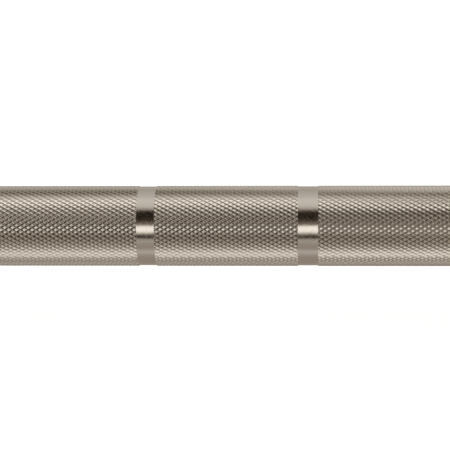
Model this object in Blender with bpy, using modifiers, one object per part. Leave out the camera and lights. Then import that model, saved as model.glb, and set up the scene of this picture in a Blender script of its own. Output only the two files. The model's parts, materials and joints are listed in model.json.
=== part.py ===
# Women's weightlifting barbell: a 25 mm knurled shaft with a free-turning 50 mm sleeve at each end.
# The bar lies along X with its middle at the origin, +Z up. All sizes are in metres.
# A station is a distance from the middle of the bar, measured outwards along its axis.

from math import cos, pi, radians, sin

import bpy

MM = 0.001

# How finely round shapes are faceted. A flat facet, not a corner, points straight down.
TURN_STEPS = 32
PLIER_HOLE_STEPS = 10
SMOOTH_ANGLE = radians(35)
CORNER_TO_FLAT = cos(pi / TURN_STEPS)

# Clearances between pieces
FACE_GAP = 0.3 * MM
PRESS_GAP = 0.1 * MM
RUNNING_GAP = 0.1 * MM
SEAL_GAP = 0.2 * MM
WASHER_GAP = 0.2 * MM
CAP_GAP = 0.2 * MM
GROOVE_PLAY = 0.1 * MM

# Shaft
COLLAR_SPAN = 1310 * MM
SHAFT_DIAMETER = 25 * MM
KNURL_HEIGHT = 0.07 * MM
KNURL_START = 210 * MM
KNURL_TO_COLLAR = 5 * MM
KNURL_RUNOUT = 0.4 * MM
INNER_MARK = 405 * MM
INNER_MARK_WIDTH = 5.5 * MM
MARK_SPACING = 50 * MM
OUTER_MARK_WIDTH = 6.2 * MM
MARK_DEPTH = 0.12 * MM
SHOULDER_HEIGHT = 2.5 * MM
SHAFT_CHAMFER = 1.2 * MM
END_LAND = 6 * MM

# Sleeve tube
SLEEVE_DIAMETER = 50 * MM
LOADING_LENGTH = 320 * MM
SLEEVE_CHAMFER = 1.5 * MM
CAP_RIM_WALL = 4 * MM
CAP_LEDGE = 2.9 * MM
BUSHING_LEDGE = 1.2 * MM
END_SPACE = 6 * MM

# Collar ring on the sleeve
COLLAR_DIAMETER = 76 * MM
COLLAR_WIDTH = 30 * MM
COLLAR_CHAMFER = 1.5 * MM

# Bushings, seal and thrust washers
INNER_BUSHING_LENGTH = 39 * MM
OUTER_BUSHING_LENGTH = 30 * MM
BUSHING_CHAMFER = 0.6 * MM
SEAL_WIDTH = 3.7 * MM
SEAL_LIP_WIDTH = 1.2 * MM
SEAL_RIM = 2.6 * MM
INNER_WASHER_THICKNESS = 1.7 * MM
OUTER_WASHER_THICKNESS = 1.5 * MM
OUTER_WASHER_WALL = 3.6 * MM

# Retaining rings
SNAP_RING_THICKNESS = 1.2 * MM
SNAP_RING_DEPTH = 0.5 * MM
SNAP_RING_WALL = 2.4 * MM
SNAP_RING_LUG = 1.8 * MM
BUSHING_RING_THICKNESS = 1.5 * MM
BUSHING_RING_DEPTH = 1 * MM
BUSHING_RING_WALL = 2.8 * MM
CAP_RING_THICKNESS = 1.75 * MM
CAP_RING_DEPTH = 1.25 * MM
CAP_RING_WALL = 2.6 * MM
CAP_RING_LUG = 2.4 * MM
CAP_RING_RECESS = 4 * MM
RING_OPENING = 4 * MM
LUG_WIDTH = 4 * MM
PLIER_HOLE_DIAMETER = 1.6 * MM
PLIER_HOLE_EDGE = 0.5 * MM

# End cap
CAP_THICKNESS = 8.5 * MM
CAP_CHAMFER = 0.6 * MM
CAP_DISH_DEPTH = 0.8 * MM
CAP_DISH_RIM = 4.5 * MM

# Radii that follow
SHAFT_R = SHAFT_DIAMETER / 2
KNURL_R = SHAFT_R + KNURL_HEIGHT
MARK_R = SHAFT_R - MARK_DEPTH
JOURNAL_R = SHAFT_R - SHOULDER_HEIGHT
SNAP_GROOVE_R = JOURNAL_R - SNAP_RING_DEPTH
SLEEVE_R = SLEEVE_DIAMETER / 2
# The bar stands on a flat of each collar, so the flats lie at the real radius and the corners stand out.
COLLAR_R = COLLAR_DIAMETER / 2 / CORNER_TO_FLAT
CAP_BORE_R = SLEEVE_R - CAP_RIM_WALL
CAP_GROOVE_R = CAP_BORE_R + CAP_RING_DEPTH
CAP_R = CAP_BORE_R - CAP_GAP
BUSHING_SEAT_R = CAP_BORE_R - CAP_LEDGE
BUSHING_GROOVE_R = BUSHING_SEAT_R + BUSHING_RING_DEPTH
BUSHING_R = BUSHING_SEAT_R - PRESS_GAP
BORE_R = BUSHING_SEAT_R - BUSHING_LEDGE

# Stations at the inner end of a sleeve
COLLAR_IN = COLLAR_SPAN / 2
COLLAR_OUT = COLLAR_IN + COLLAR_WIDTH
KNURL_END = COLLAR_IN - KNURL_TO_COLLAR
SEAL_IN = COLLAR_IN + FACE_GAP
SEAL_OUT = SEAL_IN + SEAL_WIDTH
INNER_BUSHING_IN = SEAL_OUT + FACE_GAP
INNER_BUSHING_OUT = INNER_BUSHING_IN + INNER_BUSHING_LENGTH
INNER_SEAT = INNER_BUSHING_OUT + FACE_GAP

# Stations at the outer end of a sleeve, from the end face inwards
SLEEVE_END = COLLAR_OUT + LOADING_LENGTH
CAP_RING_OUT = SLEEVE_END - CAP_RING_RECESS
CAP_RING_IN = CAP_RING_OUT - CAP_RING_THICKNESS
CAP_OUT = CAP_RING_IN - FACE_GAP
CAP_IN = CAP_OUT - CAP_THICKNESS
CAP_SEAT = CAP_IN - FACE_GAP
SHAFT_END = CAP_SEAT - END_SPACE
SNAP_RING_OUT = SHAFT_END - END_LAND
SNAP_RING_IN = SNAP_RING_OUT - SNAP_RING_THICKNESS
OUTER_WASHER_OUT = SNAP_RING_IN - FACE_GAP
OUTER_WASHER_IN = OUTER_WASHER_OUT - OUTER_WASHER_THICKNESS
OUTER_BUSHING_OUT = OUTER_WASHER_IN - FACE_GAP
OUTER_BUSHING_IN = OUTER_BUSHING_OUT - OUTER_BUSHING_LENGTH
BUSHING_RING_IN = OUTER_BUSHING_OUT + FACE_GAP
BUSHING_RING_OUT = BUSHING_RING_IN + BUSHING_RING_THICKNESS
OUTER_SEAT = OUTER_BUSHING_IN - FACE_GAP
INNER_WASHER_OUT = OUTER_BUSHING_IN - FACE_GAP
INNER_WASHER_IN = INNER_WASHER_OUT - INNER_WASHER_THICKNESS
SHOULDER = INNER_WASHER_IN - FACE_GAP


def clear_scene():
    for obj in list(bpy.data.objects):
        bpy.data.objects.remove(obj, do_unlink=True)


def new_collection(name):
    collection = bpy.data.collections.new(name)
    bpy.context.scene.collection.children.link(collection)
    return collection


def principled(name, colour, roughness, metallic=1.0):
    material = bpy.data.materials.new(name)
    material.use_nodes = True
    shader = material.node_tree.nodes["Principled BSDF"]
    shader.inputs["Base Color"].default_value = (*colour, 1.0)
    shader.inputs["Roughness"].default_value = roughness
    shader.inputs["Metallic"].default_value = metallic
    return material


def baked_mesh(source, name, material):
    """The evaluated mesh of a helper object at the helper's place. The helper is then removed."""
    bpy.context.view_layer.update()
    graph = bpy.context.evaluated_depsgraph_get()
    mesh = bpy.data.meshes.new_from_object(source.evaluated_get(graph))
    mesh.name = name
    mesh.transform(source.matrix_world)
    mesh.materials.clear()
    mesh.materials.append(material)
    bpy.data.objects.remove(source, do_unlink=True)
    return mesh


def turned(name, profile, material, closed=True):
    """A profile of (radius, station) points, run down its outer side, turned about the local Z axis."""
    half_step = pi / TURN_STEPS
    points = [(r * cos(half_step), r * sin(half_step), z) for r, z in profile]
    edges = [(i, i + 1) for i in range(len(points) - 1)]
    if closed:
        edges.append((len(points) - 1, 0))
    outline = bpy.data.meshes.new(name + "_profile")
    outline.from_pydata(points, edges, [])
    lathe = bpy.data.objects.new(name + "_lathe", outline)
    bpy.context.scene.collection.objects.link(lathe)
    screw = lathe.modifiers.new("turn", "SCREW")
    screw.axis = "Z"
    screw.angle = 2 * pi
    screw.steps = TURN_STEPS
    screw.render_steps = TURN_STEPS
    screw.use_merge_vertices = True
    screw.merge_threshold = 0.00001
    mesh = baked_mesh(lathe, name, material)
    mesh.shade_smooth()
    mesh.set_sharp_from_angle(angle=SMOOTH_ANGLE)
    return mesh


def stamped(name, outlines, low, high, material):
    """A flat plate with the given outlines, the holes in it included, between two stations."""
    plate = bpy.data.curves.new(name + "_outline", "CURVE")
    plate.dimensions = "2D"
    plate.fill_mode = "BOTH"
    plate.extrude = (high - low) / 2
    for outline in outlines:
        spline = plate.splines.new("POLY")
        spline.points.add(len(outline) - 1)
        for point, (x, y) in zip(spline.points, outline):
            point.co = (x, y, 0, 1)
        spline.use_cyclic_u = True
    press = bpy.data.objects.new(name + "_plate", plate)
    press.location.z = (low + high) / 2
    bpy.context.scene.collection.objects.link(press)
    return baked_mesh(press, name, material)


def arc(radius, start, end, steps):
    step = (end - start) / steps
    return [(radius * cos(start + step * i), radius * sin(start + step * i)) for i in range(steps + 1)]


def split_ring(seated_r, free_r):
    """A ring with an opening at the local +X axis, between the radius in its groove and its free edge."""
    opening = RING_OPENING / 2 / seated_r
    end = 2 * pi - opening
    return [arc(seated_r, opening, end, TURN_STEPS) + arc(free_r, end, opening, TURN_STEPS)]


def lugged_ring(seated_r, free_r, lug_r):
    """A split ring whose two ends widen to lugs, each with a hole for the pliers. Its outlines are listed."""
    opening = RING_OPENING / 2 / seated_r
    lug_angle = LUG_WIDTH / lug_r
    end = 2 * pi - opening
    outline = (
        arc(seated_r, opening, end, TURN_STEPS)
        + arc(lug_r, end, end - lug_angle, 2)
        + arc(free_r, end - lug_angle, opening + lug_angle, TURN_STEPS)
        + arc(lug_r, opening + lug_angle, opening, 2)
    )
    inwards = 1 if lug_r < free_r else -1
    hole_r = lug_r + inwards * (PLIER_HOLE_EDGE + PLIER_HOLE_DIAMETER / 2)
    outlines = [outline]
    for angle in (opening + lug_angle / 2, end - lug_angle / 2):
        hole = arc(PLIER_HOLE_DIAMETER / 2, 0, 2 * pi, PLIER_HOLE_STEPS)[:-1]
        outlines.append([(hole_r * cos(angle) + x, hole_r * sin(angle) + y) for x, y in hole])
    return outlines


def shaft_profile():
    """One bar, knurled in three zones a side, with a shallow turned band at each mark and a journal at each end."""
    half = [(SHAFT_R, KNURL_START), (KNURL_R, KNURL_START + KNURL_RUNOUT)]
    for mark, width in ((INNER_MARK, INNER_MARK_WIDTH), (INNER_MARK + MARK_SPACING, OUTER_MARK_WIDTH)):
        mark_in, mark_out = mark - width / 2, mark + width / 2
        half += [(KNURL_R, mark_in), (MARK_R, mark_in), (MARK_R, mark_out), (KNURL_R, mark_out)]
    half += [
        (KNURL_R, KNURL_END - KNURL_RUNOUT),
        (SHAFT_R, KNURL_END),
        (SHAFT_R, SHOULDER),
        (JOURNAL_R, SHOULDER),
        (JOURNAL_R, SNAP_RING_IN - GROOVE_PLAY),
        (SNAP_GROOVE_R, SNAP_RING_IN - GROOVE_PLAY),
        (SNAP_GROOVE_R, SNAP_RING_OUT + GROOVE_PLAY),
        (JOURNAL_R, SNAP_RING_OUT + GROOVE_PLAY),
        (JOURNAL_R, SHAFT_END - SHAFT_CHAMFER),
        (JOURNAL_R - SHAFT_CHAMFER, SHAFT_END),
        (0, SHAFT_END),
    ]
    return half[::-1] + [(r, -z) for r, z in half]


def sleeve_tube_profile():
    """A thick tube with a bushing seat at both ends, and a wider bore with a ledge for the end cap."""
    return [
        (CAP_BORE_R, SLEEVE_END),
        (SLEEVE_R - SLEEVE_CHAMFER, SLEEVE_END),
        (SLEEVE_R, SLEEVE_END - SLEEVE_CHAMFER),
        (SLEEVE_R, COLLAR_IN),
        (BUSHING_SEAT_R, COLLAR_IN),
        (BUSHING_SEAT_R, INNER_SEAT),
        (BORE_R, INNER_SEAT),
        (BORE_R, OUTER_SEAT),
        (BUSHING_SEAT_R, OUTER_SEAT),
        (BUSHING_SEAT_R, BUSHING_RING_IN - GROOVE_PLAY),
        (BUSHING_GROOVE_R, BUSHING_RING_IN - GROOVE_PLAY),
        (BUSHING_GROOVE_R, BUSHING_RING_OUT + GROOVE_PLAY),
        (BUSHING_SEAT_R, BUSHING_RING_OUT + GROOVE_PLAY),
        (BUSHING_SEAT_R, CAP_SEAT),
        (CAP_BORE_R, CAP_SEAT),
        (CAP_BORE_R, CAP_RING_IN - GROOVE_PLAY),
        (CAP_GROOVE_R, CAP_RING_IN - GROOVE_PLAY),
        (CAP_GROOVE_R, CAP_RING_OUT + GROOVE_PLAY),
        (CAP_BORE_R, CAP_RING_OUT + GROOVE_PLAY),
    ]


def ring_profile(bore_r, rim_r, low, high, chamfer=0):
    """A plain ring, with a chamfer on both edges of its rim where one is given."""
    if not chamfer:
        return [(bore_r, high), (rim_r, high), (rim_r, low), (bore_r, low)]
    return [
        (bore_r, high),
        (rim_r - chamfer, high),
        (rim_r, high - chamfer),
        (rim_r, low + chamfer),
        (rim_r - chamfer, low),
        (bore_r, low),
    ]


def dust_seal_profile():
    """A rubber ring whose inner side tapers to a narrow lip round the shaft."""
    middle = (SEAL_IN + SEAL_OUT) / 2
    rim_in = BUSHING_R - SEAL_RIM
    return [
        (rim_in, SEAL_OUT),
        (BUSHING_R, SEAL_OUT),
        (BUSHING_R, SEAL_IN),
        (rim_in, SEAL_IN),
        (SHAFT_R + SEAL_GAP, middle - SEAL_LIP_WIDTH / 2),
        (SHAFT_R + SEAL_GAP, middle + SEAL_LIP_WIDTH / 2),
    ]


def end_cap_profile():
    """A thick disc with a shallow dish in its outer face."""
    dish_r = CAP_R - CAP_DISH_RIM
    return [
        (0, CAP_OUT - CAP_DISH_DEPTH),
        (dish_r - CAP_DISH_DEPTH, CAP_OUT - CAP_DISH_DEPTH),
        (dish_r, CAP_OUT),
        (CAP_R - CAP_CHAMFER, CAP_OUT),
        (CAP_R, CAP_OUT - CAP_CHAMFER),
        (CAP_R, CAP_IN),
        (0, CAP_IN),
    ]


def sleeve_pieces(ring_steel):
    """The pieces that turn together as one sleeve."""
    sleeve_chrome = principled("sleeve_chrome", (0.62, 0.61, 0.59), 0.16)
    collar_chrome = principled("collar_chrome", (0.60, 0.59, 0.57), 0.20)
    bronze = principled("bushing_bronze", (0.62, 0.42, 0.20), 0.38)
    rubber = principled("seal_rubber", (0.025, 0.025, 0.027), 0.65, metallic=0.0)
    aluminium = principled("cap_aluminium", (0.72, 0.72, 0.72), 0.30)

    collar = ring_profile(SLEEVE_R + PRESS_GAP, COLLAR_R, COLLAR_IN, COLLAR_OUT, COLLAR_CHAMFER)
    inner_bushing = ring_profile(
        SHAFT_R + RUNNING_GAP, BUSHING_R, INNER_BUSHING_IN, INNER_BUSHING_OUT, BUSHING_CHAMFER
    )
    outer_bushing = ring_profile(
        JOURNAL_R + RUNNING_GAP, BUSHING_R, OUTER_BUSHING_IN, OUTER_BUSHING_OUT, BUSHING_CHAMFER
    )
    bushing_ring_r = BUSHING_GROOVE_R * CORNER_TO_FLAT - PRESS_GAP
    bushing_ring = split_ring(bushing_ring_r, bushing_ring_r - BUSHING_RING_WALL)
    cap_ring_r = CAP_GROOVE_R * CORNER_TO_FLAT - PRESS_GAP
    cap_ring_free_r = cap_ring_r - CAP_RING_WALL
    cap_ring = lugged_ring(cap_ring_r, cap_ring_free_r, cap_ring_free_r - CAP_RING_LUG)
    return [
        turned("sleeve_tube", sleeve_tube_profile(), sleeve_chrome),
        turned("collar", collar, collar_chrome),
        turned("inner_bushing", inner_bushing, bronze),
        turned("outer_bushing", outer_bushing, bronze),
        turned("dust_seal", dust_seal_profile(), rubber),
        turned("end_cap", end_cap_profile(), aluminium, closed=False),
        stamped("bushing_retaining_ring", bushing_ring, BUSHING_RING_IN, BUSHING_RING_OUT, ring_steel),
        stamped("cap_retaining_ring", cap_ring, CAP_RING_IN, CAP_RING_OUT, ring_steel),
    ]


def shaft_end_pieces(ring_steel):
    """The washers and the ring that keep a sleeve in its place along the shaft."""
    washer_steel = principled("washer_steel", (0.50, 0.49, 0.47), 0.35)
    washer_bore_r = JOURNAL_R + WASHER_GAP
    inner_washer = ring_profile(washer_bore_r, SHAFT_R - WASHER_GAP, INNER_WASHER_IN, INNER_WASHER_OUT)
    outer_washer = ring_profile(
        washer_bore_r, washer_bore_r + OUTER_WASHER_WALL, OUTER_WASHER_IN, OUTER_WASHER_OUT
    )
    snap_ring_r = SNAP_GROOVE_R / CORNER_TO_FLAT + PRESS_GAP
    snap_ring_free_r = snap_ring_r + SNAP_RING_WALL
    snap_ring = lugged_ring(snap_ring_r, snap_ring_free_r, snap_ring_free_r + SNAP_RING_LUG)
    return [
        turned("inner_thrust_washer", inner_washer, washer_steel),
        turned("outer_thrust_washer", outer_washer, washer_steel),
        stamped("shaft_snap_ring", snap_ring, SNAP_RING_IN, SNAP_RING_OUT, ring_steel),
    ]


def axis_empty(collection, name, heading):
    """An empty at the middle of the bar. Its local Z axis runs out along the bar, its local X axis up."""
    empty = bpy.data.objects.new(name, None)
    empty.rotation_euler = (0, -pi / 2, heading)
    collection.objects.link(empty)
    return empty


def place(collection, name, mesh, parent):
    obj = bpy.data.objects.new(name, mesh)
    obj.parent = parent
    collection.objects.link(obj)


clear_scene()
barbell = new_collection("barbell")
ring_steel = principled("ring_steel", (0.13, 0.13, 0.135), 0.40)
shaft_nickel = principled("shaft_nickel", (0.58, 0.53, 0.46), 0.24)

shaft_axis = axis_empty(barbell, "shaft_axis", pi)
place(barbell, "shaft", turned("shaft", shaft_profile(), shaft_nickel, closed=False), shaft_axis)

sleeve_meshes = sleeve_pieces(ring_steel)
shaft_end_meshes = shaft_end_pieces(ring_steel)
for side, heading in (("right", pi), ("left", 0)):
    sleeve_axis = axis_empty(barbell, side + "_sleeve_axis", heading)
    for mesh in sleeve_meshes:
        place(barbell, side + "_" + mesh.name, mesh, sleeve_axis)
    shaft_end = axis_empty(barbell, side + "_shaft_end_axis", heading)
    for mesh in shaft_end_meshes:
        place(barbell, side + "_" + mesh.name, mesh, shaft_end)
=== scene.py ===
# Women's weightlifting barbell, seen close at the two ring marks on the right half of its shaft.
# The bar lies along X with its middle at the origin, +Z up, and all sizes are in metres.
# A station is a distance from the middle of the bar, measured outwards along its axis.

import json
import random
from math import atan2, cos, pi, radians, sin, sqrt

import bmesh
import bpy
from mathutils import Matrix, Vector


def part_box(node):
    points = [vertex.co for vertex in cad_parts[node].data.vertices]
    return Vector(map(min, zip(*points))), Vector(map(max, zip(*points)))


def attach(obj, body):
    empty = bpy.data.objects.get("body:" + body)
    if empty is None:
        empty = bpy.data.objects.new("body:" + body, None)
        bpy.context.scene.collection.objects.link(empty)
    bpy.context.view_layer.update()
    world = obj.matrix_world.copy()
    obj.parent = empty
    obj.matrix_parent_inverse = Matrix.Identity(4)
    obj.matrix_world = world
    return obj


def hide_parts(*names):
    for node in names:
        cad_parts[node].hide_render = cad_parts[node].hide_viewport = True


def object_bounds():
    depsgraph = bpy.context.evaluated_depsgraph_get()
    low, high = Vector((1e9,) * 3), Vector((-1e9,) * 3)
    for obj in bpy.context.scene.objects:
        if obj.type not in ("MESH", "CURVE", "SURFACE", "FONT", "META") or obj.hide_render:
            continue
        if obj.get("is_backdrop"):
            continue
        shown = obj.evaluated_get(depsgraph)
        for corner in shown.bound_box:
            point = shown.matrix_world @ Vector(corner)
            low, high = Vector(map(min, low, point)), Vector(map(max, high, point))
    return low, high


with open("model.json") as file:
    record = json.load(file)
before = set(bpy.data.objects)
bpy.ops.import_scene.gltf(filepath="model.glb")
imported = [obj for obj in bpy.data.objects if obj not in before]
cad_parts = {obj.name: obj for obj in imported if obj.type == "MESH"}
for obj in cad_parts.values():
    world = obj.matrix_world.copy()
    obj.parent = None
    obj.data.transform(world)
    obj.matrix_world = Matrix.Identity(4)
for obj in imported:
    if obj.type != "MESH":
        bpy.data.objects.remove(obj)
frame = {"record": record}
cad_low, cad_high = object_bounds()
MM = 0.001

# Shaft, smooth parts.
# One bar of spring steel runs through the whole barbell, ground to 25 mm and nickel plated. Its middle and
# its ends inside the sleeves are left smooth. Two shallow ring marks on each side are turned through the grip
# and polished with a belt while the bar spins. The scene keeps the bar as closed lengths, end to end.
SHAFT_R = 12.5 * MM
MARK_R = 12.38 * MM
JOURNAL_R = 10 * MM
SNAP_GROOVE_R = 9.5 * MM
KNURL_START = 210 * MM
INNER_MARK = 405 * MM
INNER_MARK_WIDTH = 5.5 * MM
OUTER_MARK = 455 * MM
OUTER_MARK_WIDTH = 6.2 * MM
FACE_GAP = 0.3 * MM
GROOVE_PLAY = 0.1 * MM
KNURL_TO_COLLAR = 5 * MM
COLLAR_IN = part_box("right_collar")[0].x
KNURL_END = COLLAR_IN - KNURL_TO_COLLAR
SHAFT_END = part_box("shaft")[1].x
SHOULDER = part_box("right_inner_thrust_washer")[0].x - FACE_GAP
SHAFT_CHAMFER = 1.2 * MM
BROKEN_EDGE = 0.15 * MM
TURN_STEPS = 128
SHARP_ANGLE = radians(34)
MERGE_DISTANCE = 0.001 * MM

carriers = {node: body for body, nodes in frame["record"]["behaviour"]["bodies"].items() for node in nodes}


def finished(name, shape, material, node):
    """Makes the piece, which stands for its CAD node and rides on that node's body."""
    mesh = bpy.data.meshes.new(name)
    shape.to_mesh(mesh)
    shape.free()
    mesh.materials.append(material)
    mesh.shade_smooth()
    mesh.set_sharp_from_angle(angle=SHARP_ANGLE)
    piece = bpy.data.objects.new(name, mesh)
    bpy.context.scene.collection.objects.link(piece)
    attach(piece, carriers[node])
    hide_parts(node)


def on_both_sides(name, shape, material, node):
    """The piece at the right end of the bar, and the same piece half a turn away at the left end."""
    other = shape.copy()
    bmesh.ops.rotate(other, verts=other.verts, cent=(0, 0, 0), matrix=Matrix.Rotation(pi, 3, "Z"))
    for side, half in (("right", shape), ("left", other)):
        finished(f"{side}_{name}", half, material, node if node == "shaft" else f"{side}_{node}")


def turned(profile, edge=0):
    """A closed solid: a profile of (station, radius) points, its corners broken, turned about the X axis."""
    shape = bmesh.new()
    points = [shape.verts.new((station, 0, radius)) for station, radius in profile]
    for start, end in zip(points, points[1:]):
        shape.edges.new((start, end))
    corners = points
    if profile[0][1] > 0:
        shape.edges.new((points[-1], points[0]))
    else:
        corners = points[1:-1]
    if edge:
        bmesh.ops.bevel(
            shape, geom=corners, affect="VERTICES", offset=edge, segments=3, profile=0.5, material=-1
        )
    bmesh.ops.spin(
        shape,
        geom=shape.verts[:] + shape.edges[:],
        cent=(0, 0, 0),
        axis=(1, 0, 0),
        angle=2 * pi,
        steps=TURN_STEPS,
        use_merge=True,
    )
    bmesh.ops.remove_doubles(shape, verts=shape.verts, dist=MERGE_DISTANCE)
    bmesh.ops.recalc_face_normals(shape, faces=shape.faces)
    return shape


NUMBER = "NodeSocketFloat"
VECTOR = "NodeSocketVector"


def new_group(name, inputs, outputs):
    """An empty node group with the sockets given by name and kind, and its input and output nodes."""
    group = bpy.data.node_groups.new(name, "ShaderNodeTree")
    for in_out, sockets in (("INPUT", inputs), ("OUTPUT", outputs)):
        for socket, kind in sockets.items():
            group.interface.new_socket(name=socket, in_out=in_out, socket_type=kind)
    start = group.nodes.new("NodeGroupInput")
    end = group.nodes.new("NodeGroupOutput")
    return group, start, end


def maths(tree, operation, first, second=None):
    """A Math node. Its operands are sockets or plain numbers."""
    node = tree.nodes.new("ShaderNodeMath")
    node.operation = operation
    for socket, value in zip(node.inputs, (first, second)):
        if isinstance(value, (int, float)):
            socket.default_value = value
        elif value is not None:
            tree.links.new(value, socket)
    return node.outputs[0]


def noise(tree, vector, scale, detail=2.0, roughness=0.5):
    node = tree.nodes.new("ShaderNodeTexNoise")
    node.inputs["Scale"].default_value = scale
    node.inputs["Detail"].default_value = detail
    node.inputs["Roughness"].default_value = roughness
    tree.links.new(vector, node.inputs["Vector"])
    return node.outputs["Fac"]


def ramp(tree, value, between, gives):
    """A Map Range node: the value goes from one range to the other, and stops at its ends."""
    node = tree.nodes.new("ShaderNodeMapRange")
    tree.links.new(value, node.inputs["Value"])
    for socket, number in zip(("From Min", "From Max", "To Min", "To Max"), (*between, *gives)):
        node.inputs[socket].default_value = number
    return node.outputs["Result"]


def axis_distance(tree, split):
    """How far a point, given by its separated coordinates, lies from the bar's axis."""
    square_y = maths(tree, "MULTIPLY", split.outputs["Y"], split.outputs["Y"])
    square_z = maths(tree, "MULTIPLY", split.outputs["Z"], split.outputs["Z"])
    return maths(tree, "SQRT", maths(tree, "ADD", square_y, square_z))


# Turning marks run round the axis on a turned side and in circles on a turned face, because their pattern
# changes fast with the station and the radius and slowly along the cut.
lathe, start, end = new_group(
    "lathe_marks", {"Vector": VECTOR, "Pitch": NUMBER, "Run": NUMBER}, {"Height": NUMBER}
)
split = lathe.nodes.new("ShaderNodeSeparateXYZ")
lathe.links.new(start.outputs["Vector"], split.inputs[0])
reach = maths(lathe, "ADD", split.outputs["X"], axis_distance(lathe, split))
cut = maths(lathe, "DIVIDE", reach, start.outputs["Pitch"])
join = lathe.nodes.new("ShaderNodeCombineXYZ")
lathe.links.new(cut, join.inputs["X"])
lathe.links.new(maths(lathe, "DIVIDE", split.outputs["Y"], start.outputs["Run"]), join.inputs["Y"])
lathe.links.new(maths(lathe, "DIVIDE", split.outputs["Z"], start.outputs["Run"]), join.inputs["Z"])
lathe.links.new(noise(lathe, join.outputs[0], 1.0, detail=3.0, roughness=0.6), end.inputs["Height"])


def new_finish(name, colour, metallic=1.0):
    """A material with its Principled shader, and the object coordinates that its patterns read."""
    material = bpy.data.materials.new(name)
    material.use_nodes = True
    tree = material.node_tree
    shader = tree.nodes["Principled BSDF"]
    shader.inputs["Base Color"].default_value = (*colour, 1)
    shader.inputs["Metallic"].default_value = metallic
    place = tree.nodes.new("ShaderNodeTexCoord").outputs["Object"]
    return material, tree, shader, place


def lathe_marks(tree, place, pitch, run):
    node = tree.nodes.new("ShaderNodeGroup")
    node.node_tree = lathe
    node.inputs["Pitch"].default_value = pitch
    node.inputs["Run"].default_value = run
    tree.links.new(place, node.inputs["Vector"])
    return node.outputs["Height"]


def bumped(tree, shader, height, depth):
    node = tree.nodes.new("ShaderNodeBump")
    node.inputs["Strength"].default_value = 1
    node.inputs["Distance"].default_value = depth
    tree.links.new(height, node.inputs["Height"])
    tree.links.new(node.outputs["Normal"], shader.inputs["Normal"])


NICKEL = (0.42, 0.378, 0.325)
nickel, tree, shader, place = new_finish("polished_nickel", NICKEL)
streaks = lathe_marks(tree, place, pitch=0.45 * MM, run=0.9 * MM)
tree.links.new(ramp(tree, streaks, between=(0.3, 0.7), gives=(0.12, 0.22)), shader.inputs["Roughness"])
bumped(tree, shader, streaks, depth=0.02 * MM)

middle = turned([(-KNURL_START, 0), (-KNURL_START, SHAFT_R), (KNURL_START, SHAFT_R), (KNURL_START, 0)])
finished("shaft_middle", middle, nickel, "shaft")
inner_mark_in, inner_mark_out = INNER_MARK - INNER_MARK_WIDTH / 2, INNER_MARK + INNER_MARK_WIDTH / 2
outer_mark_in, outer_mark_out = OUTER_MARK - OUTER_MARK_WIDTH / 2, OUTER_MARK + OUTER_MARK_WIDTH / 2
for mark, low, high in (
    ("inner", inner_mark_in, inner_mark_out),
    ("outer", outer_mark_in, outer_mark_out),
):
    ring = turned([(low, 0), (low, MARK_R), (high, MARK_R), (high, 0)])
    on_both_sides(f"{mark}_ring_mark", ring, nickel, "shaft")
snap_groove_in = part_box("right_shaft_snap_ring")[0].x - GROOVE_PLAY
snap_groove_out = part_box("right_shaft_snap_ring")[1].x + GROOVE_PLAY
shaft_end = turned(
    [
        (KNURL_END, 0),
        (KNURL_END, SHAFT_R),
        (SHOULDER - SHAFT_CHAMFER, SHAFT_R),
        (SHOULDER, SHAFT_R - SHAFT_CHAMFER),
        (SHOULDER, JOURNAL_R),
        (snap_groove_in, JOURNAL_R),
        (snap_groove_in, SNAP_GROOVE_R),
        (snap_groove_out, SNAP_GROOVE_R),
        (snap_groove_out, JOURNAL_R),
        (SHAFT_END - SHAFT_CHAMFER, JOURNAL_R),
        (SHAFT_END, JOURNAL_R - SHAFT_CHAMFER),
        (SHAFT_END, 0),
    ],
    BROKEN_EDGE,
)
on_both_sides("shaft_end", shaft_end, nickel, "shaft")

# Shaft, knurled zones.
# The grip is rolled into the bar by two hard wheels whose teeth lean 30 degrees each way. Their grooves, the
# falling ones wider, leave flat-topped diamonds, 56 round the bar, a little proud of the smooth steel. The
# ring marks are turned later, so the diamonds stop square at their edges. The groove bottoms are painted
# darker, as shade in the grooves.
DIAMONDS_AROUND = 56
DIAMOND_LENGTH = 2.426 * MM
CREST_R = 12.57 * MM
FALLING_FLANK = 0.50 * MM
RISING_FLANK = 0.30 * MM
GROOVE_DEPTH = 0.36 * MM
CORE_R = 12.1 * MM
SPARE_CELLS = 3
UNEVEN = 0.004 * MM
KNURL_ROUGHNESS = 0.14
SHADE_DEPTH = 0.06 * MM
# The colour of the painted shade at the groove bottoms.
GROOVE_SHADE = (0.37, 0.315, 0.25)
GROOVE_R = CREST_R - GROOVE_DEPTH
PITCH_LENGTH = 2 * pi * CREST_R
DIAMOND_WIDTH = PITCH_LENGTH / DIAMONDS_AROUND
DIAMOND_ACROSS = DIAMOND_LENGTH * DIAMOND_WIDTH / sqrt(DIAMOND_LENGTH**2 + DIAMOND_WIDTH**2)


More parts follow.
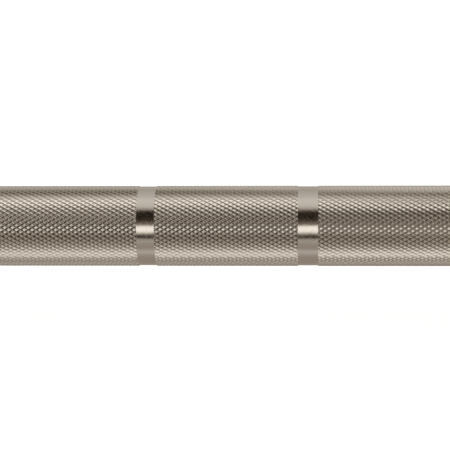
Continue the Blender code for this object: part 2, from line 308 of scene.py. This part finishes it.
def knurled(low, high, moved_by, turned_by):
    """A closed length of knurled bar between two stations, rolled up from a flat sheet of diamonds.

    The diamonds are moved along the bar and turned round it from the middle of the length and the top.
    """
    length = high - low
    shape = bmesh.new()
    cells = 2 * int((length / DIAMOND_LENGTH + DIAMONDS_AROUND) / 2 + SPARE_CELLS)
    bmesh.ops.create_grid(shape, x_segments=cells, y_segments=cells, size=cells / 2)
    lean = Matrix((
        (DIAMOND_LENGTH / 2, DIAMOND_LENGTH / 2, 0),
        (-DIAMOND_WIDTH / 2, DIAMOND_WIDTH / 2, 0),
        (0, 0, 1),
    ))
    shift = Matrix.Translation((moved_by, turned_by * CREST_R, 0))
    lay = shift @ lean.to_4x4()
    spare = []
    for face in shape.faces:
        middle = lay @ face.calc_center_median()
        if abs(middle.x) > length / 2 + DIAMOND_LENGTH or abs(middle.y) > PITCH_LENGTH / 2 + DIAMOND_WIDTH:
            spare.append(face)
    bmesh.ops.delete(shape, geom=spare, context="FACES")
    # The squares are stretched for the inset, so that one even inset gives each groove its own flanks.
    stretch = Matrix.Diagonal((DIAMOND_ACROSS / RISING_FLANK, DIAMOND_ACROSS / FALLING_FLANK, 1, 1))
    bmesh.ops.transform(shape, matrix=stretch, verts=shape.verts)
    bmesh.ops.inset_individual(
        shape, faces=shape.faces[:], thickness=1, depth=GROOVE_DEPTH, use_even_offset=True
    )
    bmesh.ops.transform(shape, matrix=lay @ stretch.inverted(), verts=shape.verts)
    # The flat sheet is trimmed to the length and to one turn, and rolled up.
    edges = ((length / 2, Vector((1, 0, 0))), (PITCH_LENGTH / 2, Vector((0, 1, 0))))
    for reach, direction in edges:
        for side in (1, -1):
            bmesh.ops.bisect_plane(
                shape,
                geom=shape.verts[:] + shape.edges[:] + shape.faces[:],
                plane_co=direction * reach * side,
                plane_no=direction * side,
                clear_outer=True,
            )
    for vertex in shape.verts:
        turn = vertex.co.y / PITCH_LENGTH * 2 * pi
        radius = GROOVE_R + vertex.co.z
        vertex.co = ((low + high) / 2 + vertex.co.x, radius * sin(turn), radius * cos(turn))
    bmesh.ops.remove_doubles(shape, verts=shape.verts, dist=MERGE_DISTANCE)
    for vertex in shape.verts:
        swell = 1 + random.uniform(-UNEVEN, UNEVEN) / CREST_R
        vertex.co.y *= swell
        vertex.co.z *= swell
    # Both rims are drawn in to the core, and the two ends are closed.
    rims = [edge for edge in shape.edges if edge.is_boundary]
    drawn = bmesh.ops.extrude_edge_only(shape, edges=rims)["geom"]
    for vertex in drawn:
        if isinstance(vertex, bmesh.types.BMVert):
            turn = atan2(vertex.co.y, vertex.co.z)
            vertex.co.y = CORE_R * sin(turn)
            vertex.co.z = CORE_R * cos(turn)
    bmesh.ops.holes_fill(shape, edges=[edge for edge in shape.edges if edge.is_boundary], sides=0)
    bmesh.ops.recalc_face_normals(shape, faces=shape.faces)
    return shape


def blended(tree, factor, first, second):
    """A colour between two plain colours."""
    node = tree.nodes.new("ShaderNodeMix")
    node.data_type = "RGBA"
    node.inputs["A"].default_value = (*first, 1)
    node.inputs["B"].default_value = (*second, 1)
    tree.links.new(factor, node.inputs["Factor"])
    return node.outputs["Result"]


grip, tree, shader, place = new_finish("knurled_nickel", NICKEL)
shader.inputs["Roughness"].default_value = KNURL_ROUGHNESS
split = tree.nodes.new("ShaderNodeSeparateXYZ")
tree.links.new(place, split.inputs[0])
# The groove bottoms are painted darker, as shade in the grooves, fading to plain nickel over the shade depth.
shaded_part = (GROOVE_R, GROOVE_R + SHADE_DEPTH)
unshaded = ramp(tree, axis_distance(tree, split), between=shaded_part, gives=(0, 1))
tree.links.new(blended(tree, unshaded, GROOVE_SHADE, NICKEL), shader.inputs["Base Color"])
random.seed(1)
# Each zone is rolled on its own, so its diamonds start at a place of their own.
zones = {
    "inner": (KNURL_START, inner_mark_in, 2.12 * MM, radians(-0.15)),
    "middle": (inner_mark_out, outer_mark_in, 0.44 * MM, radians(0.39)),
    "outer": (outer_mark_out, KNURL_END, 0.75 * MM, radians(1.7)),
}
for zone, (low, high, moved_by, turned_by) in zones.items():
    on_both_sides(f"{zone}_knurl", knurled(low, high, moved_by, turned_by), grip, "shaft")

# Bushings.
# Each sleeve turns on two plain bearings of sintered bronze, soaked in oil and pressed into its bore: a long
# one at its mouth, round the 25 mm shaft, and a shorter one near its end, round the 20 mm journal. Both have
# a lead chamfer at each end, and a groove round the bore that holds oil.
RUNNING_GAP = 0.1 * MM
BUSHING_R = 18 * MM
BUSHING_CHAMFER = 0.6 * MM
OIL_GROOVE_WIDTH = 2.4 * MM
OIL_GROOVE_DEPTH = 0.5 * MM
BRONZE = (0.62, 0.42, 0.20)
DARK_BRONZE = (0.36, 0.22, 0.10)
bronze, tree, shader, place = new_finish("sintered_bronze", BRONZE)
oil = noise(tree, place, 0.09 / MM, detail=3.0)
soaked = ramp(tree, oil, between=(0.42, 0.62), gives=(0, 1))
tree.links.new(blended(tree, soaked, BRONZE, DARK_BRONZE), shader.inputs["Base Color"])
tree.links.new(ramp(tree, oil, between=(0.4, 0.6), gives=(0.44, 0.26)), shader.inputs["Roughness"])
pores = noise(tree, place, 4 / MM, detail=3.0, roughness=0.6)
bumped(tree, shader, pores, depth=0.02 * MM)


def span(node):
    """The stations of the two faces of a CAD node at the right end of the bar."""
    low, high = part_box("right_" + node)
    return low.x, high.x


for bushing, node, bore_r in (
    ("long_bushing", "inner_bushing", SHAFT_R + RUNNING_GAP),
    ("short_bushing", "outer_bushing", JOURNAL_R + RUNNING_GAP),
):
    low, high = span(node)
    middle = (low + high) / 2
    ring = turned(
        [
            (low, bore_r + BUSHING_CHAMFER),
            (low, BUSHING_R - BUSHING_CHAMFER),
            (low + BUSHING_CHAMFER, BUSHING_R),
            (high - BUSHING_CHAMFER, BUSHING_R),
            (high, BUSHING_R - BUSHING_CHAMFER),
            (high, bore_r + BUSHING_CHAMFER),
            (high - BUSHING_CHAMFER, bore_r),
            (middle + OIL_GROOVE_WIDTH / 2, bore_r),
            (middle + OIL_GROOVE_WIDTH / 2 - OIL_GROOVE_DEPTH, bore_r + OIL_GROOVE_DEPTH),
            (middle - OIL_GROOVE_WIDTH / 2 + OIL_GROOVE_DEPTH, bore_r + OIL_GROOVE_DEPTH),
            (middle - OIL_GROOVE_WIDTH / 2, bore_r),
            (low + BUSHING_CHAMFER, bore_r),
        ]
    )
    on_both_sides(bushing, ring, bronze, node)

# Thrust washers.
# Two ground steel washers take the sideways push at the outer bushing, one against the shaft's shoulder and
# one under the snap ring. They are loose on the 20 mm journal.
WASHER_GAP = 0.2 * MM
INNER_WASHER_R = SHAFT_R - WASHER_GAP
OUTER_WASHER_WALL = 3.6 * MM
OUTER_WASHER_R = JOURNAL_R + WASHER_GAP + OUTER_WASHER_WALL
WASHER_EDGE = 0.25 * MM
GROUND = (0.50, 0.49, 0.47)
ground, tree, shader, place = new_finish("ground_steel", GROUND)
scratches = lathe_marks(tree, place, pitch=0.12 * MM, run=9 * MM)
tree.links.new(ramp(tree, scratches, between=(0.3, 0.7), gives=(0.24, 0.42)), shader.inputs["Roughness"])
bumped(tree, shader, scratches, depth=0.006 * MM)

for washer, node, rim_r in (
    ("shoulder_washer", "inner_thrust_washer", INNER_WASHER_R),
    ("end_washer", "outer_thrust_washer", OUTER_WASHER_R),
):
    low, high = span(node)
    bore_r = JOURNAL_R + WASHER_GAP
    ring = turned([(low, bore_r), (low, rim_r), (high, rim_r), (high, bore_r)], WASHER_EDGE)
    on_both_sides(washer, ring, ground, node)

# Sleeve tubes.
# The plates slide onto this thick tube, 50 mm across and 320 mm free. It is turned and bored from steel bar,
# with seats for the bushings and a wider bore with a ledge for the end cap, then ground and hard chromed.
SLEEVE_R = 25 * MM
SLEEVE_CHAMFER = 1.5 * MM
SLEEVE_EDGE = 0.3 * MM
CAP_BORE_R = 21 * MM
CAP_GROOVE_R = 22.25 * MM
BUSHING_SEAT_R = 18.1 * MM
BUSHING_GROOVE_R = 19.1 * MM
BORE_R = 16.9 * MM
sleeve_in, sleeve_end = span("sleeve_tube")
inner_seat = span("inner_bushing")[1] + FACE_GAP
outer_seat = span("outer_bushing")[0] - FACE_GAP
ring_in, ring_out = span("bushing_retaining_ring")
cap_seat = span("end_cap")[0] - FACE_GAP
cap_ring_in, cap_ring_out = span("cap_retaining_ring")

# Plates leave fine scratches of every length. A scratch is the narrow band where a stretched noise passes its
# middle value, and a slow noise decides where they are dense.
wear, start, end = new_group(
    "scratches", {"Vector": VECTOR, "Stretch": VECTOR, "Patches": NUMBER, "Width": NUMBER}, {"Mask": NUMBER}
)
stretched = wear.nodes.new("ShaderNodeVectorMath")
stretched.operation = "MULTIPLY"
wear.links.new(start.outputs["Vector"], stretched.inputs[0])
wear.links.new(start.outputs["Stretch"], stretched.inputs[1])
band = maths(wear, "ABSOLUTE", maths(wear, "SUBTRACT", noise(wear, stretched.outputs[0], 1.0), 0.5))
line = maths(wear, "SUBTRACT", 1.0, maths(wear, "DIVIDE", band, start.outputs["Width"]))
patches = wear.nodes.new("ShaderNodeTexNoise")
patches.inputs["Detail"].default_value = 2
wear.links.new(start.outputs["Vector"], patches.inputs["Vector"])
wear.links.new(start.outputs["Patches"], patches.inputs["Scale"])
dense = ramp(wear, patches.outputs["Fac"], between=(0.42, 0.66), gives=(0, 1))
wear.links.new(maths(wear, "MULTIPLY", maths(wear, "MAXIMUM", line, 0.0), dense), end.inputs["Mask"])


def scratched(tree, place, stretch, patches, width):
    node = tree.nodes.new("ShaderNodeGroup")
    node.node_tree = wear
    node.inputs["Stretch"].default_value = stretch
    node.inputs["Patches"].default_value = patches
    node.inputs["Width"].default_value = width
    tree.links.new(place, node.inputs["Vector"])
    return node.outputs["Mask"]


CHROME = (0.62, 0.61, 0.59)
SCUFFED_CHROME = (0.50, 0.49, 0.475)
SCUFF_ROUGHNESS = 0.16
GRINDING_HEIGHT = 0.3
chrome, tree, shader, place = new_finish("hard_chrome", CHROME)
along = scratched(tree, place, stretch=(25, 700, 700), patches=14, width=0.02)
around = scratched(tree, place, stretch=(1600, 40, 40), patches=22, width=0.03)
scuffs = maths(tree, "MAXIMUM", along, around)
tree.links.new(blended(tree, scuffs, CHROME, SCUFFED_CHROME), shader.inputs["Base Color"])
haze = ramp(tree, noise(tree, place, 22, detail=3.0), between=(0.35, 0.7), gives=(0.10, 0.20))
dulled = maths(tree, "MULTIPLY", scuffs, SCUFF_ROUGHNESS)
tree.links.new(maths(tree, "ADD", haze, dulled), shader.inputs["Roughness"])
grinding = lathe_marks(tree, place, pitch=0.18 * MM, run=12 * MM)
height = maths(tree, "SUBTRACT", maths(tree, "MULTIPLY", grinding, GRINDING_HEIGHT), scuffs)
bumped(tree, shader, height, depth=0.006 * MM)

tube = turned(
    [
        (sleeve_in, BUSHING_SEAT_R),
        (sleeve_in, SLEEVE_R),
        (sleeve_end - SLEEVE_CHAMFER, SLEEVE_R),
        (sleeve_end, SLEEVE_R - SLEEVE_CHAMFER),
        (sleeve_end, CAP_BORE_R),
        (cap_ring_out + GROOVE_PLAY, CAP_BORE_R),
        (cap_ring_out + GROOVE_PLAY, CAP_GROOVE_R),
        (cap_ring_in - GROOVE_PLAY, CAP_GROOVE_R),
        (cap_ring_in - GROOVE_PLAY, CAP_BORE_R),
        (cap_seat, CAP_BORE_R),
        (cap_seat, BUSHING_SEAT_R),
        (ring_out + GROOVE_PLAY, BUSHING_SEAT_R),
        (ring_out + GROOVE_PLAY, BUSHING_GROOVE_R),
        (ring_in - GROOVE_PLAY, BUSHING_GROOVE_R),
        (ring_in - GROOVE_PLAY, BUSHING_SEAT_R),
        (outer_seat, BUSHING_SEAT_R),
        (outer_seat, BORE_R),
        (inner_seat, BORE_R),
        (inner_seat, BUSHING_SEAT_R),
    ],
    SLEEVE_EDGE,
)
on_both_sides("plate_sleeve", tube, chrome, "sleeve_tube")

# Collars.
# The ring that stops the plates, 76 mm across, is turned from steel bar and shrunk onto the inner end of the
# tube. Its rim is chamfered on both sides and its two faces keep the circles of the facing cut under chrome.
COLLAR_R = 38 * MM
COLLAR_CHAMFER = 1.5 * MM
COLLAR_EDGE = 0.35 * MM
PRESS_GAP = 0.1 * MM
KNOCK_ROUGHNESS = 0.15
collar_chrome, tree, shader, place = new_finish("collar_chrome", CHROME)
knocks = scratched(tree, place, stretch=(420, 420, 420), patches=30, width=0.012)
tree.links.new(blended(tree, knocks, CHROME, SCUFFED_CHROME), shader.inputs["Base Color"])
facing = lathe_marks(tree, place, pitch=0.3 * MM, run=30 * MM)
haze = ramp(tree, facing, between=(0.3, 0.7), gives=(0.13, 0.24))
dulled = maths(tree, "MULTIPLY", knocks, KNOCK_ROUGHNESS)
tree.links.new(maths(tree, "ADD", haze, dulled), shader.inputs["Roughness"])
bumped(tree, shader, maths(tree, "SUBTRACT", facing, knocks), depth=0.008 * MM)

collar_in, collar_out = span("collar")
collar = turned(
    [
        (collar_in, SLEEVE_R + PRESS_GAP),
        (collar_in, COLLAR_R - COLLAR_CHAMFER),
        (collar_in + COLLAR_CHAMFER, COLLAR_R),
        (collar_out - COLLAR_CHAMFER, COLLAR_R),
        (collar_out, COLLAR_R - COLLAR_CHAMFER),
        (collar_out, SLEEVE_R + PRESS_GAP),
    ],
    COLLAR_EDGE,
)
on_both_sides("stop_collar", collar, collar_chrome, "collar")

# Dust seals.
# A moulded rubber ring sits in the mouth of the tube in front of the bushing. Its body fills the bore and
# tapers to a narrow lip just clear of the shaft, which keeps chalk and dust out of the bearing.
SEAL_RIM = 2.6 * MM
SEAL_GAP = 0.2 * MM
SEAL_LIP = 1.2 * MM
SEAL_ROUND = 0.25 * MM
RUBBER = (0.025, 0.025, 0.027)
CHALKY = (0.11, 0.108, 0.105)
rubber, tree, shader, place = new_finish("seal_rubber", RUBBER, metallic=0)
chalk = noise(tree, place, 0.35 / MM, detail=4.0, roughness=0.65)
dusty = ramp(tree, chalk, between=(0.5, 0.8), gives=(0, 1))
tree.links.new(blended(tree, dusty, RUBBER, CHALKY), shader.inputs["Base Color"])
tree.links.new(ramp(tree, chalk, between=(0.4, 0.7), gives=(0.55, 0.8)), shader.inputs["Roughness"])
bumped(tree, shader, noise(tree, place, 3 / MM), depth=0.015 * MM)

seal_in, seal_out = span("dust_seal")
seal_middle = (seal_in + seal_out) / 2
seal = turned(
    [
        (seal_in, BUSHING_R - SEAL_RIM),
        (seal_in, BUSHING_R),
        (seal_out, BUSHING_R),
        (seal_out, BUSHING_R - SEAL_RIM),
        (seal_middle + SEAL_LIP / 2, SHAFT_R + SEAL_GAP),
        (seal_middle - SEAL_LIP / 2, SHAFT_R + SEAL_GAP),
    ],
    SEAL_ROUND,
)
on_both_sides("lip_seal", seal, rubber, "dust_seal")

# Retaining rings.
# Split rings stamped from spring steel and phosphated dark grey spring into their grooves: one keeps the
# outer bushing in the tube, one on the shaft keeps the sleeve on, and one holds the end cap. The last two
# end in lugs with a hole for the pliers. All open upwards at rest.
RING_OPENING = 4 * MM
LUG_WIDTH = 4 * MM
LUG_ROUND = 0.5 * MM
PLIER_HOLE_R = 0.8 * MM
PLIER_HOLE_EDGE = 0.5 * MM
STAMPED_EDGE = 0.12 * MM
RIM_ANGLE = radians(60)
LUG_STEPS = 6
HOLE_STEPS = 20
BUSHING_RING_WALL = 2.8 * MM
SNAP_RING_WALL = 2.4 * MM
SNAP_RING_LUG = 1.8 * MM
CAP_RING_WALL = 2.6 * MM
CAP_RING_LUG = 2.4 * MM
SPRING_STEEL = (0.13, 0.13, 0.135)
RUBBED_STEEL = (0.30, 0.295, 0.29)


def wire_arc(shape, radius, start, end, steps):
    """A bent wire round the X axis between two angles from the top. Its two end points are returned."""
    first = shape.verts.new((0, radius * sin(start), radius * cos(start)))
    bent = bmesh.ops.spin(shape, geom=[first], cent=(0, 0, 0), axis=(1, 0, 0), angle=start - end, steps=steps)
    return first, bent["geom_last"][0]


def stamped_ring(node, seated_r, free_r, lug_r=None):
    """A split ring between its edge in the groove and its free edge, with lugs if their reach is given."""
    low, high = span(node)
    shape = bmesh.new()
    opening = RING_OPENING / 2 / seated_r
    close = 2 * pi - opening
    lug = LUG_WIDTH / lug_r if lug_r else 0
    wires = [wire_arc(shape, seated_r, opening, close, TURN_STEPS)]
    if lug_r:
        wires.append(wire_arc(shape, lug_r, close, close - lug, LUG_STEPS))
    wires.append(wire_arc(shape, free_r, close - lug, opening + lug, TURN_STEPS))
    if lug_r:
        wires.append(wire_arc(shape, lug_r, opening + lug, opening, LUG_STEPS))
    for (_, last), (first, _) in zip(wires, wires[1:] + wires[:1]):
        shape.edges.new((last, first))
    corners = [point for wire in wires for point in wire]
    bmesh.ops.bevel(
        shape, geom=corners, affect="VERTICES", offset=LUG_ROUND, segments=4, profile=0.5, material=-1
    )
    if lug_r:
        inwards = 1 if lug_r < free_r else -1
        hole_r = lug_r + inwards * (PLIER_HOLE_EDGE + PLIER_HOLE_R)
        for turn in (opening + lug / 2, close - lug / 2):
            centre = Matrix.Translation((0, hole_r * sin(turn), hole_r * cos(turn)))
            upright = centre @ Matrix.Rotation(pi / 2, 4, "Y")
            bmesh.ops.create_circle(shape, radius=PLIER_HOLE_R, segments=HOLE_STEPS, matrix=upright)
    bmesh.ops.triangle_fill(shape, edges=shape.edges[:], use_beauty=True, normal=(1, 0, 0))
    bmesh.ops.solidify(shape, geom=shape.faces[:], thickness=high - low)
    bmesh.ops.recalc_face_normals(shape, faces=shape.faces)
    rims = [edge for edge in shape.edges if edge.calc_face_angle() > RIM_ANGLE]
    bmesh.ops.bevel(
        shape, geom=rims, affect="EDGES", offset=STAMPED_EDGE, segments=2, profile=0.5, material=-1
    )
    stations = [vertex.co.x for vertex in shape.verts]
    middle = (min(stations) + max(stations)) / 2
    bmesh.ops.translate(shape, verts=shape.verts, vec=((low + high) / 2 - middle, 0, 0))
    return shape


spring, tree, shader, place = new_finish("phosphated_spring_steel", SPRING_STEEL)
handling = noise(tree, place, 0.8 / MM, detail=4.0, roughness=0.7)
rubbed = ramp(tree, handling, between=(0.55, 0.75), gives=(0, 1))
tree.links.new(blended(tree, rubbed, SPRING_STEEL, RUBBED_STEEL), shader.inputs["Base Color"])
tree.links.new(ramp(tree, rubbed, between=(0, 1), gives=(0.5, 0.3)), shader.inputs["Roughness"])
crystals = noise(tree, place, 6 / MM)
bumped(tree, shader, crystals, depth=0.01 * MM)

seated_r = BUSHING_GROOVE_R - PRESS_GAP
bushing_ring = stamped_ring("bushing_retaining_ring", seated_r, seated_r - BUSHING_RING_WALL)
on_both_sides("bushing_ring", bushing_ring, spring, "bushing_retaining_ring")
seated_r = SNAP_GROOVE_R + PRESS_GAP
free_r = seated_r + SNAP_RING_WALL
snap_ring = stamped_ring("shaft_snap_ring", seated_r, free_r, free_r + SNAP_RING_LUG)
on_both_sides("snap_ring", snap_ring, spring, "shaft_snap_ring")
seated_r = CAP_GROOVE_R - PRESS_GAP
free_r = seated_r - CAP_RING_WALL
cap_ring = stamped_ring("cap_retaining_ring", seated_r, free_r, free_r - CAP_RING_LUG)
on_both_sides("cap_ring", cap_ring, spring, "cap_retaining_ring")

# End caps.
# A plain disc of aluminium closes each sleeve, recessed behind its rim. Its outer face is turned to a shallow
# dish with fine rings from the cutting tool, round the small cone that the lathe's centre leaves.
CAP_R = 20.8 * MM
CAP_CHAMFER = 0.6 * MM
CAP_DISH_DEPTH = 0.8 * MM
CAP_DISH_R = 16.3 * MM
CENTRE_R = 1.6 * MM
CENTRE_DEPTH = 1.4 * MM
CAP_EDGE = 0.2 * MM
ALUMINIUM = (0.72, 0.72, 0.72)
aluminium, tree, shader, place = new_finish("turned_aluminium", ALUMINIUM)
rings = lathe_marks(tree, place, pitch=0.22 * MM, run=40 * MM)
tree.links.new(ramp(tree, rings, between=(0.3, 0.7), gives=(0.22, 0.36)), shader.inputs["Roughness"])
bumped(tree, shader, rings, depth=0.02 * MM)

cap_in, cap_out = span("end_cap")
dish = cap_out - CAP_DISH_DEPTH
cap = turned(
    [
        (cap_in, 0),
        (cap_in, CAP_R),
        (cap_out - CAP_CHAMFER, CAP_R),
        (cap_out, CAP_R - CAP_CHAMFER),
        (cap_out, CAP_DISH_R),
        (dish, CAP_DISH_R - CAP_DISH_DEPTH),
        (dish, CENTRE_R),
        (dish - CENTRE_DEPTH, 0),
    ],
    CAP_EDGE,
)
on_both_sides("dished_cap", cap, aluminium, "end_cap")

# Floor.
# A wide sheet of pale paper, on which the two collars stand. It is white, keeps the bar's shadow, and looks
# as bright to the camera and in the metal as the paper of a photographer's table.
FLOOR_HALF = 20
FLOOR_WHITE = 0.85
FLOOR_ROUGHNESS = 0.9
FLOOR_LIFT = 0.4


def staged(name, shape, material):
    """Part of the set round the barbell, not of the barbell."""
    mesh = bpy.data.meshes.new(name)
    shape.to_mesh(mesh)
    shape.free()
    mesh.materials.append(material)
    thing = bpy.data.objects.new(name, mesh)
    bpy.context.scene.collection.objects.link(thing)
    thing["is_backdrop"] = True
    return thing


paper = bpy.data.materials.new("pale_floor")
paper.use_nodes = True
tree = paper.node_tree
shader = tree.nodes["Principled BSDF"]
shader.inputs["Base Color"].default_value = (FLOOR_WHITE, FLOOR_WHITE, FLOOR_WHITE, 1)
shader.inputs["Roughness"].default_value = FLOOR_ROUGHNESS
shader.inputs["Specular IOR Level"].default_value = 0.0
path = tree.nodes.new("ShaderNodeLightPath")
seen = maths(tree, "MAXIMUM", path.outputs["Is Camera Ray"], path.outputs["Is Glossy Ray"])
seen = maths(tree, "MAXIMUM", seen, path.outputs["Is Transmission Ray"])
shader.inputs["Emission Color"].default_value = (1, 1, 1, 1)
tree.links.new(maths(tree, "MULTIPLY", seen, FLOOR_LIFT), shader.inputs["Emission Strength"])
floor_sheet = bmesh.new()
bmesh.ops.create_grid(floor_sheet, x_segments=1, y_segments=1, size=FLOOR_HALF)
bmesh.ops.translate(floor_sheet, verts=floor_sheet.verts, vec=(0, 0, cad_low.z))
staged("floor", floor_sheet, paper)

world = bpy.data.worlds.new("studio")
world.use_nodes = True
world.node_tree.nodes["Background"].inputs["Color"].default_value = (1, 1, 1, 1)
world.node_tree.nodes["Background"].inputs["Strength"].default_value = 1
bpy.context.scene.world = world

# Light tent.
# Soft boxes and dark gaps arch over the table and show only in the metal, as bands along the bar. The arch
# has a left, a middle and a right part. Each row is an angle, up from the front horizon and over the bar to
# the back, and the light there. A glowing sheet lies just over the table and also shows only in the metal:
# it paints the table's reflection. Its rows are distances behind the bar's axis, and the dip under the axis
# is a painted shadow of the bar.
TENT_R = 3.0
TENT_HALF = 6.0
MIDDLE_LIGHT = (
    (0, 0.05),
    (10, 0.06),
    (15, 0.5),
    (18, 1.35),
    (21, 1.95),
    (24, 2.15),
    (35, 2.2),
    (38, 1.05),
    (41, 0.25),
    (47, 0.25),
    (52, 0.08),
    (58, 0.03),
    (76, 0.02),
    (82, 0.1),
    (85, 0.55),
    (88, 0.75),
    (95, 1.12),
    (110, 1.25),
    (119, 1.25),
    (130, 1.05),
    (140, 0.97),
    (166, 0.75),
    (180, 0.75),
)
LEFT_LIGHT = (
    (0, 1.0),
    (15, 1.3),
    (30, 1.7),
    (40, 2.1),
    (52, 2.0),
    (64, 1.3),
    (76, 0.6),
    (90, 0.2),
    (102, 0.3),
    (115, 0.7),
    (135, 0.95),
    (180, 1.1),
)
RIGHT_LIGHT = (
    (0, 1.7),
    (20, 1.6),
    (40, 1.1),
    (52, 0.7),
    (64, 0.6),
    (76, 0.7),
    (90, 0.9),
    (102, 1.0),
    (115, 0.85),
    (140, 0.5),
    (180, 0.3),
)
LAMP_COLOUR = (1, 1, 1)
ROOM_COLOUR = (1, 0.76, 0.54)
MIDDLE_HALF = 0.8
SIDE_START = 1.6
TABLE_GAP = 0.5 * MM
# The glow of the sheet over the table, a painted reflection of it, with a painted shadow of the bar in the
# dip under its axis.
TABLE_LIGHT = (
    (TENT_R, 0.8),
    (0.1, 0.63),
    (0.0, 0.5),
    (-0.03, 0.62),
    (-0.05, 0.94),
    (-0.08, 0.56),
    (-0.12, 0.63),
    (-0.3, 0.8),
    (-TENT_R, 0.4),
)


def light_at(rows, place):
    """The light at a place between two of the rows, in proportion to its distance from them."""
    for (low, before), (high, after) in zip(rows, rows[1:]):
        if min(low, high) <= place <= max(low, high):
            return before + (after - before) * (place - low) / (high - low)


tent_shape = bmesh.new()
glow = tent_shape.verts.layers.float.new("glow")
table_z = cad_low.z + TABLE_GAP
vault = [
    (-TENT_HALF, LEFT_LIGHT),
    (-SIDE_START, LEFT_LIGHT),
    (-MIDDLE_HALF, MIDDLE_LIGHT),
    (MIDDLE_HALF, MIDDLE_LIGHT),
    (SIDE_START, RIGHT_LIGHT),
    (TENT_HALF, RIGHT_LIGHT),
]
angles = sorted({angle for _, rows in vault for angle, _ in rows})
arch = []
for x, rows in vault:
    levels = [(radians(angle), light_at(rows, angle)) for angle in angles]
    arch.append([(x, -TENT_R * cos(angle), TENT_R * sin(angle), light) for angle, light in levels])
table = [[(x, y, table_z, light) for y, light in TABLE_LIGHT] for x in (-TENT_HALF, TENT_HALF)]
for sheet in (arch, table):
    grid = []
    for column in sheet:
        grid.append([tent_shape.verts.new(place) for *place, _ in column])
        for point, (*_, light) in zip(grid[-1], column):
            point[glow] = light
    for left, right in zip(grid, grid[1:]):
        for i in range(len(left) - 1):
            tent_shape.faces.new((left[i], right[i], right[i + 1], left[i + 1]))
soft_box = bpy.data.materials.new("light_tent")
soft_box.use_nodes = True
soft_box.cycles.emission_sampling = "NONE"
tree = soft_box.node_tree
tree.nodes.remove(tree.nodes["Principled BSDF"])
emission = tree.nodes.new("ShaderNodeEmission")
level = tree.nodes.new("ShaderNodeAttribute")
level.attribute_name = "glow"
tree.links.new(level.outputs["Fac"], emission.inputs["Strength"])
dark_part = ramp(tree, level.outputs["Fac"], between=(0, 0.9), gives=(1, 0))
tree.links.new(blended(tree, dark_part, LAMP_COLOUR, ROOM_COLOUR), emission.inputs["Color"])
tree.links.new(emission.outputs[0], tree.nodes["Material Output"].inputs["Surface"])
tent = staged("light_tent", tent_shape, soft_box)
tent.visible_camera = False
tent.visible_diffuse = False
tent.visible_transmission = False
tent.visible_shadow = False

# Camera.
# It looks down on the bar from the front at the height of the photographer's eye, close enough that the two
# ring marks and the grip beside them fill the picture, and turned a little, so the bar's right end is nearer.
CAMERA_ELEVATION = radians(38)
CAMERA_TURN = radians(3)
CAMERA_DISTANCE = 550 * MM
PICTURE_WIDTH = 140.9 * MM
SENSOR_WIDTH = 36
VIEW_STATION = 429.0 * MM
VIEW_RISE = 0.25 * MM
back = Vector((
    sin(CAMERA_TURN),
    -cos(CAMERA_TURN) * cos(CAMERA_ELEVATION),
    cos(CAMERA_TURN) * sin(CAMERA_ELEVATION),
))
right = Vector((
    cos(CAMERA_TURN),
    sin(CAMERA_TURN) * cos(CAMERA_ELEVATION),
    -sin(CAMERA_TURN) * sin(CAMERA_ELEVATION),
))
up = back.cross(right)
camera_data = bpy.data.cameras.new("camera")
camera_data.sensor_width = SENSOR_WIDTH
camera_data.lens = SENSOR_WIDTH * CAMERA_DISTANCE / PICTURE_WIDTH
camera = bpy.data.objects.new("camera", camera_data)
bpy.context.scene.collection.objects.link(camera)
eye = Vector((VIEW_STATION, 0, 0)) + up * VIEW_RISE + back * CAMERA_DISTANCE
camera.matrix_world = Matrix((
    (right.x, up.x, back.x, eye.x),
    (right.y, up.y, back.y, eye.y),
    (right.z, up.z, back.z, eye.z),
    (0, 0, 0, 1),
))
bpy.context.scene.camera = camera
bpy.context.scene.view_settings.view_transform = "Standard"

low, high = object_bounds()
